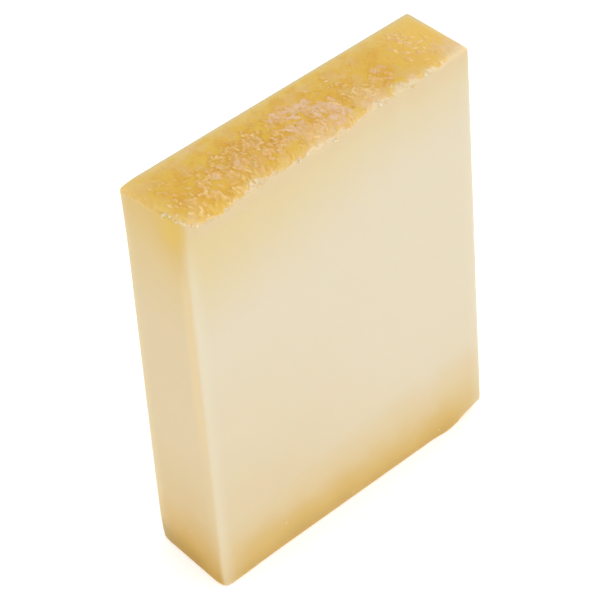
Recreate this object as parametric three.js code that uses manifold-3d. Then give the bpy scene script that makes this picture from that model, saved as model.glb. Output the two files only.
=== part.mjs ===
// A chunk of hard alpine cheese: a slab cut right through a wheel, standing on the lower rind with the
// upper rind on top. Its four upright sides are cut faces. Millimetres, +Z up, origin under its middle.
// X runs along the slab and Y across it. The broad face seen first is the -Y side, the narrow one -X.

import * as THREE from "three";
import { mergeVertices } from "three/addons/utils/BufferGeometryUtils.js";
import Module from "manifold-3d";

// Main sizes
const LENGTH = 84.7; // along X, between the two cut ends
const HEIGHT = 110.3; // from rind to rind, the thickness of the wheel
const TOP_THICKNESS = 20.3; // along Y, just under the upper rind
const LEFT_FOOT_THICKNESS = 24.3; // the slab widens downwards, most at its left end
const RIGHT_FOOT_THICKNESS = 21.9;

// Unevenness of the cuts
const END_TWIST = 0.5; // the left end turns by this much one way at the top and the other at the foot
const TOP_TILT = 0.4; // the upper rind rises by this much towards the broad front face
const FACE_BOW = 0.35; // the broad faces swell by this much in the middle
const EDGE_RADIUS = 1.2; // all edges are a little soft
const FOOT_TRIM = 0.3; // pressed flat under the soft foot edges

// The worn shoulder where the upper rind meets the broad front face
const SHOULDER_PLACES = [0, 0.1, 0.22, 0.28, 0.45, 0.58, 0.68, 1]; // shares of the length, from the left
const SHOULDER_DROPS = [1, 3.2, 3, 1.6, 2.4, 2, 0.2, 0.1]; // how far the edge is worn down at each place
const SHOULDER_RAGGED = 0.45; // the edge wanders up and down by this much besides
const SHOULDER_REACH = 5.5; // how far in from the face the wear starts
const SHOULDER_DEPTH = 9; // how far down the face the wear is felt
const RAGGED_WAVES = [17, 9.1, 5.3]; // lengths of the waves that make up the wandering
const RAGGED_START = 0.8; // where the waves start, in radians

// The lower right corner of the broad front face is lifted clear of the ground
const TOE_LENGTH = 7;
const TOE_RISE = 3;
const TOE_HEIGHT = 16;
const TOE_BACK_SHARE = 0.4; // how much of the rise is left at the back face

// Rind relief: a slow swell, and crusty flakes that stand on it
const RIND_SWELL = 0.2;
const SWELL_WAVES = [23, 13, 7.7];
const SWELL_START_X = 0.3;
const SWELL_START_Y = 1.9;
const FLAKE_PITCH = 2.7; // one place for a flake in each square of this side
const FLAKE_SHARE = 0.65; // share of the places that hold one
const FLAKE_RADIUS = 1.5;
const FLAKE_HEIGHT = 0.45;
const FLAKE_LEAST = 0.5; // the lowest flakes have this share of the height
const FLAKE_MARGIN = 5; // the flakes thin out this far from the back edge and the right end
const RIND_DEPTH = 1.5; // the relief fades out over this depth below the top

// Surface grid
const EDGE_STEPS = [0, EDGE_RADIUS / 3, EDGE_RADIUS]; // distances from an edge of the lines that round it
const LENGTH_STEPS = 62; // between the rounded edges
const THICKNESS_STEPS = 15;
const LOWER_LINES = [4, 9, 16]; // heights of the lines that follow the lifted toe
const MIDDLE_STEPS = 5;
const UPPER_LINES = [11, 7, 4.5, 2.6]; // depths below the top of the lines that follow the shoulder

// Mixing numbers of the repeatable draws
const WAVE_SHIFT = 2.4;
const MIX_COLUMN = 127.1;
const MIX_ROW = 311.7;
const MIX_KIND = 74.7;
const MIX_SPREAD = 43758.5453;

const CHEESE = { color: 0xe6d2a4, roughness: 0.6, metalness: 0 };

const wasm = await Module();
wasm.setup();

const blend = THREE.MathUtils.lerp;
const clamp = THREE.MathUtils.clamp;

// Zero at both ends of a span and one in its middle.
function hump(share) {
  return 4 * share * (1 - share);
}

// Falls from one to zero over a reach, gently at its far end.
function fade(distance, reach) {
  return (1 - clamp(distance / reach, 0, 1)) ** 2;
}

// The value at a place between the stations of a list.
function between(place, places, values) {
  const at = clamp(place, places[0], places.at(-1));
  const next = Math.max(
    1,
    places.findIndex((station) => station >= at),
  );
  return THREE.MathUtils.mapLinear(at, places[next - 1], places[next], values[next - 1], values[next]);
}

// Repeatable wandering between -1 and 1 along a line: waves of the given lengths added up.
function wander(along, waves, start) {
  const parts = waves.map((wave, i) => Math.sin((2 * Math.PI * along) / wave + start + WAVE_SHIFT * i));
  return parts.reduce((sum, part) => sum + part, 0) / waves.length;
}

// A repeatable draw between 0 and 1 for a square of a pattern.
function draw(column, row, kind) {
  const mixed = Math.sin(column * MIX_COLUMN + row * MIX_ROW + kind * MIX_KIND) * MIX_SPREAD;
  return mixed - Math.floor(mixed);
}

// Line positions from 0 to a length, closer together at both ends.
function evenLines(length, steps) {
  const inner = length - 2 * EDGE_RADIUS;
  const middle = Array.from({ length: steps - 1 }, (_, i) => EDGE_RADIUS + (inner * (i + 1)) / steps);
  const far = EDGE_STEPS.toReversed().map((step) => length - step);
  return [...EDGE_STEPS, ...middle, ...far];
}

// Heights of the lines up the sides: close together near the foot and near the rind.
function heightLines(height) {
  const foot = [...EDGE_STEPS, ...LOWER_LINES];
  const depths = [...UPPER_LINES, ...EDGE_STEPS.toReversed()];
  const top = depths.map((depth) => height - depth);
  const start = foot.at(-1);
  const rise = (top[0] - start) / MIDDLE_STEPS;
  const middle = Array.from({ length: MIDDLE_STEPS - 1 }, (_, i) => start + rise * (i + 1));
  return [...foot, ...middle, ...top];
}

// A plain block from the foot trim up to the top, with its surface grid.
function plainBlock() {
  const xs = evenLines(LENGTH, LENGTH_STEPS).map((x) => x - LENGTH / 2);
  const ys = evenLines(TOP_THICKNESS, THICKNESS_STEPS).map((y) => y - TOP_THICKNESS / 2);
  const zs = heightLines(HEIGHT + FOOT_TRIM).map((z) => z - FOOT_TRIM);
  const box = new THREE.BoxGeometry(1, 1, 1, xs.length - 1, ys.length - 1, zs.length - 1);
  box.deleteAttribute("normal");
  box.deleteAttribute("uv");
  const shell = mergeVertices(box);
  const points = shell.getAttribute("position");
  const pick = (lines, share) => lines[Math.round((share + 0.5) * (lines.length - 1))];
  for (let i = 0; i < points.count; i++) {
    points.setXYZ(i, pick(xs, points.getX(i)), pick(ys, points.getY(i)), pick(zs, points.getZ(i)));
  }
  return shell;
}

// Softens the edges: a point near an edge goes to the same distance from the block's core as any other.
function soften(point) {
  const low = new THREE.Vector3(-LENGTH / 2, -TOP_THICKNESS / 2, -FOOT_TRIM).addScalar(EDGE_RADIUS);
  const high = new THREE.Vector3(LENGTH / 2, TOP_THICKNESS / 2, HEIGHT).subScalar(EDGE_RADIUS);
  const core = point.clone().clamp(low, high);
  const out = point.clone().sub(core).setLength(EDGE_RADIUS);
  return core.add(out);
}

// Height at a place on the rind of the flake of one square, which may hold none.
function flake(x, y, column, row) {
  if (draw(column, row, 1) > FLAKE_SHARE) return 0;
  const middleX = (column + draw(column, row, 2)) * FLAKE_PITCH;
  const middleY = (row + draw(column, row, 3)) * FLAKE_PITCH;
  const away = Math.hypot(x - middleX, y - middleY);
  const height = FLAKE_HEIGHT * blend(FLAKE_LEAST, 1, draw(column, row, 4));
  return height * (1 - THREE.MathUtils.smoothstep(away, 0, FLAKE_RADIUS));
}

// Height of the highest flake at a place on the rind.
function flakes(x, y) {
  const column = Math.floor(x / FLAKE_PITCH);
  const row = Math.floor(y / FLAKE_PITCH);
  const near = [-1, 0, 1];
  return Math.max(...near.flatMap((c) => near.map((r) => flake(x, y, column + c, row + r))));
}

// Raises the rind's relief on top, less and less down the softened edges.
function crust(point) {
  const share = fade(HEIGHT - point.z, RIND_DEPTH);
  const swell = wander(point.x, SWELL_WAVES, SWELL_START_X) + wander(point.y, SWELL_WAVES, SWELL_START_Y);
  const inside = Math.min(TOP_THICKNESS / 2 - point.y, LENGTH / 2 - point.x);
  const cover = 1 - fade(inside, FLAKE_MARGIN);
  point.z += share * (RIND_SWELL * swell + cover * flakes(point.x, point.y));
}

// Wears down the top front edge, most at the left end, along a ragged line.
function wearShoulder(point) {
  const along = point.x / LENGTH + 0.5;
  const inward = point.y + TOP_THICKNESS / 2;
  const ragged = SHOULDER_RAGGED * wander(point.x, RAGGED_WAVES, RAGGED_START);
  const drop = between(along, SHOULDER_PLACES, SHOULDER_DROPS) + ragged;
  point.z -= drop * fade(inward, SHOULDER_REACH) * fade(HEIGHT - point.z, SHOULDER_DEPTH);
}

// Lifts the right end of the foot, most at the front.
function liftToe(point) {
  const along = clamp((point.x - LENGTH / 2 + TOE_LENGTH) / TOE_LENGTH, 0, 1);
  const across = blend(1, TOE_BACK_SHARE, point.y / TOP_THICKNESS + 0.5);
  point.z += TOE_RISE * along * across * fade(point.z, TOE_HEIGHT);
}

// Gives the block the taper, twist, tilt and bow of the real cuts.
function lean(point) {
  const along = point.x / LENGTH + 0.5;
  const up = clamp(point.z / HEIGHT, 0, 1);
  const side = (2 * point.y) / TOP_THICKNESS;
  const foot = blend(LEFT_FOOT_THICKNESS, RIGHT_FOOT_THICKNESS, along);
  const bow = FACE_BOW * hump(along) * hump(up);
  point.x += END_TWIST * (1 - along) * side * (1 - 2 * up);
  point.y = side * (blend(foot, TOP_THICKNESS, up) / 2 + bow);
  point.z -= (TOP_TILT / 2) * side * up;
}

function shape(shell) {
  const points = shell.getAttribute("position");
  const point = new THREE.Vector3();
  for (let i = 0; i < points.count; i++) {
    const moved = soften(point.fromBufferAttribute(points, i));
    crust(moved);
    wearShoulder(moved);
    liftToe(moved);
    lean(moved);
    points.setXYZ(i, moved.x, moved.y, moved.z);
  }
  return shell;
}

function solidOf(geometry) {
  const bare = geometry.clone();
  bare.deleteAttribute("normal");
  bare.deleteAttribute("uv");
  const merged = mergeVertices(bare);
  return new wasm.Manifold(
    new wasm.Mesh({
      numProp: 3,
      vertProperties: merged.getAttribute("position").array,
      triVerts: new Uint32Array(merged.index.array),
    }),
  );
}

function geometryOf(solid) {
  const mesh = solid.getMesh();
  const geometry = new THREE.BufferGeometry();
  geometry.setAttribute("position", new THREE.BufferAttribute(mesh.vertProperties, 3));
  geometry.setIndex(new THREE.BufferAttribute(mesh.triVerts, 1));
  return geometry;
}

// The block as cut and worn, made level at the foot and set over the origin.
function chunkGeometry() {
  const below = new THREE.BoxGeometry(2 * LENGTH, 2 * LENGTH, HEIGHT).translate(0, 0, -HEIGHT / 2);
  const geometry = geometryOf(solidOf(shape(plainBlock())).subtract(solidOf(below)));
  geometry.computeBoundingBox();
  const middle = geometry.boundingBox.getCenter(new THREE.Vector3());
  geometry.translate(-middle.x, -middle.y, 0);
  geometry.computeVertexNormals();
  return geometry;
}

const chunk = new THREE.Mesh(chunkGeometry(), new THREE.MeshStandardMaterial(CHEESE));
chunk.name = "cheese_chunk";

const part = new THREE.Group();
part.add(chunk);

export default part;
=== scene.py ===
"""A chunk of hard mountain cheese with a flaky rind: its finely modelled body, floor, light and camera."""

import math

import bpy
import numpy as np
from mathutils import Matrix, Vector, noise


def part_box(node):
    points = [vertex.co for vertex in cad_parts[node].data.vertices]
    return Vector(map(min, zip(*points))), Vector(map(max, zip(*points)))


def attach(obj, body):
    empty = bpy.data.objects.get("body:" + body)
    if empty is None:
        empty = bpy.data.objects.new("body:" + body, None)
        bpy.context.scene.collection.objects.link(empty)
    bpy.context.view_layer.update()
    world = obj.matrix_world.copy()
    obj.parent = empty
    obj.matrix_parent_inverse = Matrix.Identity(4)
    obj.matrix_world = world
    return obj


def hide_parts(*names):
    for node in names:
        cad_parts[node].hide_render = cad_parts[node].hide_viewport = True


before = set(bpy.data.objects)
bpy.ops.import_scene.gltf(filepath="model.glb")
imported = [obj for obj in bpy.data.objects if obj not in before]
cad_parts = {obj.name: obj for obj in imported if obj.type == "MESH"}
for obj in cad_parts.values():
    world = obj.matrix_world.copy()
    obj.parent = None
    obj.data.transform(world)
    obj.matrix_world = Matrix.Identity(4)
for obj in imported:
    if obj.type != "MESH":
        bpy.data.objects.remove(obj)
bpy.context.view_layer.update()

MM = 0.001

# Main sizes of the slab, in millimetres, as the solid has them
LENGTH = 84.7
HEIGHT = 110.3
TOP_THICKNESS = 20.3
LEFT_FOOT_THICKNESS = 24.3
RIGHT_FOOT_THICKNESS = 21.9
END_TWIST = 0.5
TOP_TILT = 0.4
FACE_BOW = 0.35
EDGE_RADIUS = 1.2
FOOT_TRIM = 0.3

# The worn shoulder along the top front edge
SHOULDER_PLACES = [0, 0.1, 0.22, 0.28, 0.45, 0.58, 0.68, 1]
SHOULDER_DROPS = [1, 3.2, 3, 1.6, 2.4, 2, 0.2, 0.1]
SHOULDER_RAGGED = 0.45
SHOULDER_REACH = 5.5
SHOULDER_DEPTH = 9
RAGGED_WAVES = [17, 9.1, 5.3]
RAGGED_START = 0.8
WAVE_SHIFT = 2.4

# The lifted lower right corner
TOE_LENGTH = 8.3
TOE_RISE = 2.9
TOE_CURVE = 0.7
TOE_BEND = 0.04
TOE_HEIGHT = 16
TOE_BACK_SHARE = 0.4

# Slight swells of the front foot: middle x, reach and depth
FOOT_SWELLS = [(-38, 7, 0.25), (30.3, 2.8, 0.35)]
FOOT_SWELL_HEIGHT = 7

# Where the rind stops short of the front edge, and by how much
CHIP_PLACES = [-42, -39.5, -32, -26, -22, -18, -8, -2.5, 1, 5, 9, 16, 18, 20.5, 22, 24, 28, 30, 34, 38, 41]
CHIP_DEPTHS = [
    *(-0.6, -1.4, -0.8, -0.5, 1.4, -0.2, 0.4, 1, 0, 0.2),
    *(1.2, 0.2, 0.4, 2.1, 1.9, 0.5, 0.3, 0.9, 0.8, 1.7, 2.6),
]
CHIP_SLOPE = 0.6
CHIP_FADE = 4
CHIP_END_SPAN = (2, 9)
RIND_CORNER = 6.2

# The left upright edges, worn rounder towards the foot
CORNER_WEARS = [0.25, 0.5]
CORNER_HEIGHTS = [30, 7]
CORNER_REACH = 3
CORNER_BROAD_SHARE = 0.5

# The left end, where the top rolls over, the front upright edge is worn round and the back one stands out
LEFT_ROLL = 0.85
LEFT_ROLL_REACH = 5
LEFT_ROLL_DEPTH = 6
UPPER_WEAR = 0.8
UPPER_WEAR_REACH = 5
UPPER_WEAR_HEIGHT = 22
UPPER_FLARE = 0.5
UPPER_FLARE_REACH = 9
UPPER_FLARE_HEIGHT = 26

# Surface grid of the body
EDGE_LINES = [0, 0.3, 0.7, 1.2]
TOP_STEP = 0.18
LINE_CUTS = 4
FINE_DEPTH = 2.4
FINE_ROWS = 16
MIDDLE_DEPTH = 4.4
MIDDLE_ROWS = 4
COARSE_STEP = 3.0

# Relief of the rind and of the cut faces
RIND_LIFT = 0.12
CRUST_LIMIT = -0.5
CALM_SPAN = (0.5, 4)
CALM_LEFT_SPAN = (0.2, 2)
GRAIN_SIZE = 0.55
GRAIN_STRETCH = 1.8
GRAIN_HEIGHT = 0.14
SWELL_SIZE = 9
SWELL_HEIGHT = 0.25
CUT_WAVE_SIZE = 22
CUT_WAVE_HEIGHT = 0.12
CUT_WAVE_STRETCH = 2
CUT_TOP_SPAN = (0, 6)
CUT_FOOT_SPAN = (0, 8)
RAGGED_EDGE_SIZE = 1.6
RAGGED_EDGE_HEIGHT = 0.3
RAGGED_EDGE_REACH = 1.2
RAGGED_FRONT_SPAN = (0, -7)
RAGGED_RIGHT_SPAN = (0.5, 5)
RAGGED_LEAST = 0.02
RAGGED_SHIFT = 40.0
NOISE_FALL = 1.0
NOISE_STEP = 2.0

# The rind's border: ragged in front, soft at the back and widest at the left
BORDER_SIZE = 2.0
BORDER_REACH = 1.5
BORDER_STRETCH = 2
BORDER_OCTAVES = 4
BORDER_HALF = 0.5
SOFT_SPAN = (-5, 1)
SOFT_CALM = 0.7
SOFT_OUTWARD = 1.4
SOFT_INWARD = 1.1
FAINT_SPAN = (-4, 0)
FAINT_REACH = 8
FAINT_OUTWARD = 1.6
FAINT_INWARD = 0.9

# Scales of crust on the rind, long across the slab
SCALE_LENGTHS = (1.1, 2.4)
SCALE_WIDTHS = (0.6, 1.1)
SCALE_HEIGHTS = (0.08, 0.24)
SCALE_THINNING = 0.6
SCALE_TURN = (0.4, 0.6)
SCALE_PINK_SPREAD = 0.15
SCALE_BRIGHT_SPREAD = 0.2
SCALE_RIM = (1.0, 0.6)
SCALE_LEVEL = 0.8
SCALE_SLOPE = 0.3
SCALE_REACH = 1.5
CROWD_REACH = 1.6
SCALE_WAVE_SIZE = 0.6
SCALE_WAVE_OCTAVES = 2
SCALE_WAVE = 0.5

# Patches of scales: middle x, middle y, spread x, spread y, how many, size, pinkness, brightness
SCALE_PATCHES = [
    (-37, 2.6, 2.4, 1.4, 10, 0.8, 0.3, 0.5),
    (-30, 1.8, 2.0, 1.0, 5, 0.8, 0.3, 0.5),
    (-38.6, -6.4, 1.4, 2.2, 10, 0.9, 0.3, 0.85),
    (-37.2, -9.2, 1.8, 0.8, 8, 0.8, 0.2, 0.85),
    (-35.4, -5.5, 1.1, 2.2, 14, 0.9, 0.4, 0.65),
    (-31, -6.6, 1.2, 0.9, 13, 0.9, 0.4, 0.7),
    (-29.5, -2.4, 1.2, 1.4, 20, 1.0, 0.4, 0.5),
    (-26.8, -3.4, 0.7, 0.6, 8, 1.3, 0.7, 0.5),
    (-24.2, -1.8, 0.9, 2.0, 24, 0.85, 0.4, 0.5),
    (-19.5, -0.4, 2.4, 1.4, 36, 0.8, 0.45, 0.45),
    (-19.4, -4.6, 1.0, 0.9, 13, 1.5, 0.7, 0.35),
    (-22, -6, 2.4, 1.4, 18, 0.9, 0.35, 0.45),
    (-13, -0.2, 1.7, 1.2, 26, 0.95, 0.5, 0.6),
    (-13.2, -5.2, 1.4, 0.9, 18, 1.1, 0.5, 0.5),
    (-9.5, -2.6, 1.4, 2.0, 18, 1.0, 0.5, 0.4),
    (-4.4, 2.4, 2.2, 1.2, 21, 1.7, 0.7, 0.25),
    (-4.3, -4.4, 1.2, 1.6, 20, 1.7, 0.8, 0.3),
    (-1.4, -6.0, 1.8, 1.4, 16, 1.4, 0.6, 0.4),
    (2.8, 0.2, 0.9, 2.2, 19, 1.7, 0.9, 0.3),
    (5.0, -2.6, 1.3, 1.1, 21, 2.3, 0.95, 0.3),
    (6.2, -6.0, 1.0, 1.1, 14, 2.0, 0.9, 0.3),
    (2.2, -7.4, 1.8, 1.0, 10, 1.0, 0.4, 0.5),
    (12.6, 2.6, 1.2, 1.8, 10, 0.8, 0.4, 0.8),
    (13.6, -3.0, 1.6, 1.2, 24, 0.9, 0.4, 0.7),
    (15.2, -7.2, 1.3, 1.1, 20, 1.1, 0.5, 0.8),
    (20.6, -3.6, 1.6, 1.1, 18, 1.0, 0.5, 0.4),
    (22.8, -0.8, 0.7, 0.9, 6, 1.6, 0.75, 0.3),
    (33.4, 4.0, 1.6, 2.0, 22, 1.0, 0.45, 0.7),
    (34.2, -1.6, 1.6, 2.0, 24, 1.0, 0.4, 0.75),
    (35.2, -5.8, 1.8, 1.4, 14, 0.9, 0.35, 0.7),
    (30, -2.4, 0.6, 1.4, 5, 0.8, 0.3, 0.75),
    (-20, -1, 11, 3.2, 60, 0.8, 0.4, 0.4),
    (12, -1, 10, 3.2, 36, 0.8, 0.4, 0.4),
    (-0.6, 0.4, 1.4, 1.3, 14, 1.3, 0.8, 0.25),
    (-26, -8.8, 1.6, 0.6, 12, 0.9, 0.2, 0.6),
]

# Streaks of yellow scales along the front border, from the left end to a place on the right
FRINGE_COUNT = 80
FRINGE_SPAN = (-38, 14)
FRINGE_REACH = 2.6
FRINGE_TURN = (0, 0.3)
FRINGE_SIZE = 0.9
FRINGE_PINKNESS = 0.1
FRINGE_BRIGHTNESS = 0.5

# Places where the rind is thin and pale peach: middle x, middle y, reach x, reach y, share
PEACH_PATCHES = [
    (0.5, -9, 6.5, 3.0, 1.0),
    (14.5, -7.6, 3.8, 3.4, 1.0),
    (-25, 8, 3.5, 2, 0.6),
    (-33, 8.5, 4, 2, 0.3),
    (13, 3, 6.5, 2.5, 0.4),
    (40.5, -7, 5, 4.5, 1.0),
    (-40, -10, 3, 2, 0.6),
    (26, -9, 6, 1.6, 0.6),
]
PEACH_TEAR_SIZE = 2.5
PEACH_TEAR = 0.35
PEACH_SHIFT = 90
PEACH_SPAN = (0.1, 0.9)

# Stretches along the front where the rind's border is soft: middle x, reach, share
SOFT_BORDERS = [(2, 13, 0.45), (42, 7, 0.9)]

# Loose flakes
FLAKE_SHARE = 0.14
FLAKE_LEAST_COVER = 0.6
FLAKE_LENGTH = 1.2
FLAKE_WIDTH = 0.7
FLAKE_FIT = 1.3
FLAKE_THICKNESSES = (0.04, 0.08)
FLAKE_TILT = 0.1
NORMAL_REACH = 0.4
FLAKE_CORNERS = 12
FLAKE_CORNER_SHIFT = 0.3
FLAKE_CORNER_REACHES = (0.65, 1.15)

# Rings of a flake: share of its outline, and how low and high their points lie, in thicknesses
FLAKE_RINGS = [(1, -1, -1), (0.85, 0.2, 0.9), (0.45, 0.5, 1.2)]

# Crumbs along the front border, as middle x and how many, and those along the left one
CRUMB_PLACES = [(-39, 3), (-21.4, 9), (-9, 2), (1, 2), (15.5, 4), (20.8, 3), (23, 4), (29.6, 4)]
CRUMB_SPREAD = 0.9
CRUMB_SET_BACK = (-0.3, 0.5)
CRUMB_DROP = 0.6
CRUMB_DEPTH = 5
CRUMB_UPWARD = 1.4
CRUMB_LENGTHS = (0.8, 1.5)
CRUMB_WIDTH_SHARES = (0.6, 0.9)
CRUMB_THICKNESSES = (0.07, 0.15)
CRUMB_TILT = 0.25
LEFT_CRUMBS = 6
LEFT_CRUMB_SPAN = (-8.5, -2.5)
LEFT_CRUMB_SIZE = 0.75

# Small specks on the cut faces, as places on the plain block
SPECK_SIZE = 0.6
SPECKS = [
    (-LENGTH / 2, -0.7, 10.75),
    (-22.25, -TOP_THICKNESS / 2, 7.25),
    (27.5, -TOP_THICKNESS / 2, 2.5),
]

# Blend from the broad faces to the ends: its place and half width halfway up, and what top and foot add
END_MIDDLES = (0.3, 0.9, 0.4)
END_HALVES = (0.5, 2.1, 0.3)
END_TOP_DEPTHS = (22, 4)
END_FOOT_REACH = 30
TOP_ROUND_SPAN = (0.6, 2)

SEED = 7

# Camera, fitted to the slab's seven visible corners
CAMERA_AZIMUTH = -39.06
CAMERA_ELEVATION = 41.79
CAMERA_ROLL = -4.45
CAMERA_DISTANCE = 732.4
CAMERA_TARGET = (-3.413, 0, 57.87)
CAMERA_LENS = 192
SENSOR_WIDTH = 36
CLIP_END = 20

# The key light's azimuth, elevation, distance, size and power, the even light, and the floor in metres
KEY_LIGHT = (15, 35, 2.0, 2.5, 7)
WORLD_STRENGTH = 0.92
EXPOSURE = 0.0
FLOOR_HALF = 3.0
FLOOR_LEVEL = -0.0001


# Small helpers for shapes


def fade(distance, reach):
    """Falls from one to zero over a reach, gently at its far end."""
    return (1 - np.clip(distance / reach, 0, 1)) ** 2


def hump(share):
    """Zero at both ends of a span and one in its middle."""
    return 4 * share * (1 - share)


def smooth_step(value, low, high):
    """Rises from zero to one between two values, gently at both ends."""
    share = np.clip((value - low) / (high - low), 0, 1)
    return share * share * (3 - 2 * share)


def wander(along, waves, start):
    """Repeatable wandering between -1 and 1 along a line."""
    parts = []
    for place, wave in enumerate(waves):
        parts.append(np.sin(2 * np.pi * along / wave + start + WAVE_SHIFT * place))
    return sum(parts) / len(waves)


def rough(points, size, octaves=3):
    """Smooth random unevenness of a given grain size at each point."""
    places = [Vector(point / size) for point in points]
    return np.array([noise.fractal(place, NOISE_FALL, NOISE_STEP, octaves) for place in places])


def patches(x, y, table):
    """How strongly a place lies in any of the patches of a table, from zero to one."""
    most = np.zeros_like(x)
    for middle_x, middle_y, reach_x, reach_y, share in table:
        away = ((x - middle_x) / reach_x) ** 2 + ((y - middle_y) / reach_y) ** 2
        most = np.maximum(most, share * np.exp(-away))
    return most


# The form of the slab: the solid's, with the finer wear of its edges, foot and rind


def soften(points):
    """Rounds the edges of the plain block."""
    low = np.array([-LENGTH / 2, -TOP_THICKNESS / 2, -FOOT_TRIM]) + EDGE_RADIUS
    high = np.array([LENGTH / 2, TOP_THICKNESS / 2, HEIGHT]) - EDGE_RADIUS
    core = np.clip(points, low, high)
    out = points - core
    return core + out * EDGE_RADIUS / np.linalg.norm(out, axis=1, keepdims=True)


def wear_shoulder(points):
    """Wears down the top front edge, most at the left end, along a ragged line."""
    x, y, z = points.T
    ragged = SHOULDER_RAGGED * wander(x, RAGGED_WAVES, RAGGED_START)
    drop = np.interp(x / LENGTH + 0.5, SHOULDER_PLACES, SHOULDER_DROPS) + ragged
    worn = drop * fade(y + TOP_THICKNESS / 2, SHOULDER_REACH) * fade(HEIGHT - z, SHOULDER_DEPTH)
    return np.stack([x, y, z - worn], axis=1)


def slope_chips(points):
    """Slopes the front edge down where the rind is chipped away from it."""
    x, y, z = points.T
    front, _, _, right = sides_of(points)
    bare = np.maximum(np.interp(x, CHIP_PLACES, CHIP_DEPTHS) - front, 0)
    drop = CHIP_SLOPE * bare * fade(HEIGHT - z, CHIP_FADE) * smooth_step(right, *CHIP_END_SPAN)
    return np.stack([x, y, z - drop], axis=1)


def lift_toe(points):
    """Lifts the right end of the foot, most at the front."""
    x, y, z = points.T
    start = (x - LENGTH / 2 + TOE_LENGTH) / TOE_LENGTH
    along = np.clip((start + np.hypot(start, TOE_BEND)) / 2, 0, 1) ** TOE_CURVE
    across = 1 + (TOE_BACK_SHARE - 1) * (y / TOP_THICKNESS + 0.5)
    return np.stack([x, y, z + TOE_RISE * along * across * fade(z, TOE_HEIGHT)], axis=1)


def swell_foot(points):
    """Swells the front foot a little near its left corner and beside the lifted toe."""
    x, y, z = points.T
    frontward = smooth_step(-y, 0, TOP_THICKNESS / 2) * fade(z, FOOT_SWELL_HEIGHT)
    out = sum(depth * np.exp(-(((x - middle) / reach) ** 2)) for middle, reach, depth in FOOT_SWELLS)
    return np.stack([x, y - out * frontward, z], axis=1)


def wear_corners(points):
    """Rounds the upright edges at the left, more and more towards the foot."""
    x, y, z = points.T
    away = np.hypot(LENGTH / 2 - np.abs(x), TOP_THICKNESS / 2 - np.abs(y))
    depth = sum(wear * fade(z, height) for wear, height in zip(CORNER_WEARS, CORNER_HEIGHTS))
    worn = depth * (x < 0) * fade(away, CORNER_REACH)
    return np.stack([x - np.sign(x) * worn, y - np.sign(y) * worn * CORNER_BROAD_SHARE, z], axis=1)


def wear_left_end(points):
    """Rolls the top over into the left end, rounds its front upright edge and flares its back one."""
    x, y, z = points.T
    front, back, left, _ = sides_of(points)
    below = HEIGHT - z
    flare = UPPER_FLARE * fade(np.hypot(back, left), UPPER_FLARE_REACH) * fade(below, UPPER_FLARE_HEIGHT)
    inward = UPPER_WEAR * fade(np.hypot(front, left), UPPER_WEAR_REACH) * fade(below, UPPER_WEAR_HEIGHT)
    drop = LEFT_ROLL * fade(left, LEFT_ROLL_REACH) * fade(below, LEFT_ROLL_DEPTH)
    return np.stack([x + inward - flare, y + inward, z - drop], axis=1)


def lean(points):
    """Gives the block the taper, twist, tilt and bow of the real cuts."""
    x, y, z = points.T
    along = x / LENGTH + 0.5
    up = np.clip(z / HEIGHT, 0, 1)
    side = 2 * y / TOP_THICKNESS
    foot = LEFT_FOOT_THICKNESS + (RIGHT_FOOT_THICKNESS - LEFT_FOOT_THICKNESS) * along
    half = (foot + (TOP_THICKNESS - foot) * up) / 2
    bow = FACE_BOW * hump(along) * hump(up)
    new_x = x + END_TWIST * (1 - along) * side * (1 - 2 * up)
    return np.stack([new_x, side * (half + bow), z - TOP_TILT / 2 * side * up], axis=1)


def sides_of(points):
    """Distances from the front, back, left and right sides of the plain block."""
    x, y, _ = points.T
    return y + TOP_THICKNESS / 2, TOP_THICKNESS / 2 - y, x + LENGTH / 2, LENGTH / 2 - x


def rind_depth(points):
    """Distance in from the edge of the rind on top, counted as negative down the cut faces."""
    x, _, z = points.T
    front, back, left, right = sides_of(points)
    front = front - np.interp(x, CHIP_PLACES, CHIP_DEPTHS)
    corner = RIND_CORNER - np.hypot(np.maximum(RIND_CORNER - front, 0), np.maximum(RIND_CORNER - left, 0))
    return np.minimum.reduce([front, back, left, right, corner]) - (HEIGHT - z)


def rind_cover(points):
    """How much the rind covers each point: a ragged border in front, a soft one at the left and back."""
    depth = rind_depth(points)
    x, y, _ = points.T
    soft = smooth_step(y, *SOFT_SPAN)
    for middle, reach, share in SOFT_BORDERS:
        soft = np.maximum(soft, share * np.exp(-(((x - middle) / reach) ** 2)))
    faint = smooth_step(y, *FAINT_SPAN) * fade(x + LENGTH / 2, FAINT_REACH)
    stretched = points * (1, 1 / BORDER_STRETCH, 1 / BORDER_STRETCH)
    ragged = BORDER_REACH * rough(stretched, BORDER_SIZE, BORDER_OCTAVES) * (1 - SOFT_CALM * soft)
    outward = BORDER_HALF + SOFT_OUTWARD * soft + FAINT_OUTWARD * faint
    inward = BORDER_HALF + SOFT_INWARD * soft + FAINT_INWARD * faint
    return smooth_step(depth + ragged, -outward, inward)


def scale_rows(random):
    """Every scale on the rind: place, turn, half length, half width, height, pinkness and brightness."""
    rows = []
    for middle_x, middle_y, wide_x, wide_y, count, size, pinkness, brightness in SCALE_PATCHES:
        x = random.normal(middle_x, wide_x, count)
        y = random.normal(middle_y, wide_y, count)
        rows += new_scales(random, x, y, size, SCALE_TURN, pinkness, brightness)
    x = random.uniform(*FRINGE_SPAN, FRINGE_COUNT)
    border = np.interp(x, CHIP_PLACES, CHIP_DEPTHS) - TOP_THICKNESS / 2
    y = border + random.uniform(0, FRINGE_REACH, FRINGE_COUNT)
    return rows + new_scales(random, x, y, FRINGE_SIZE, FRINGE_TURN, FRINGE_PINKNESS, FRINGE_BRIGHTNESS)


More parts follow.
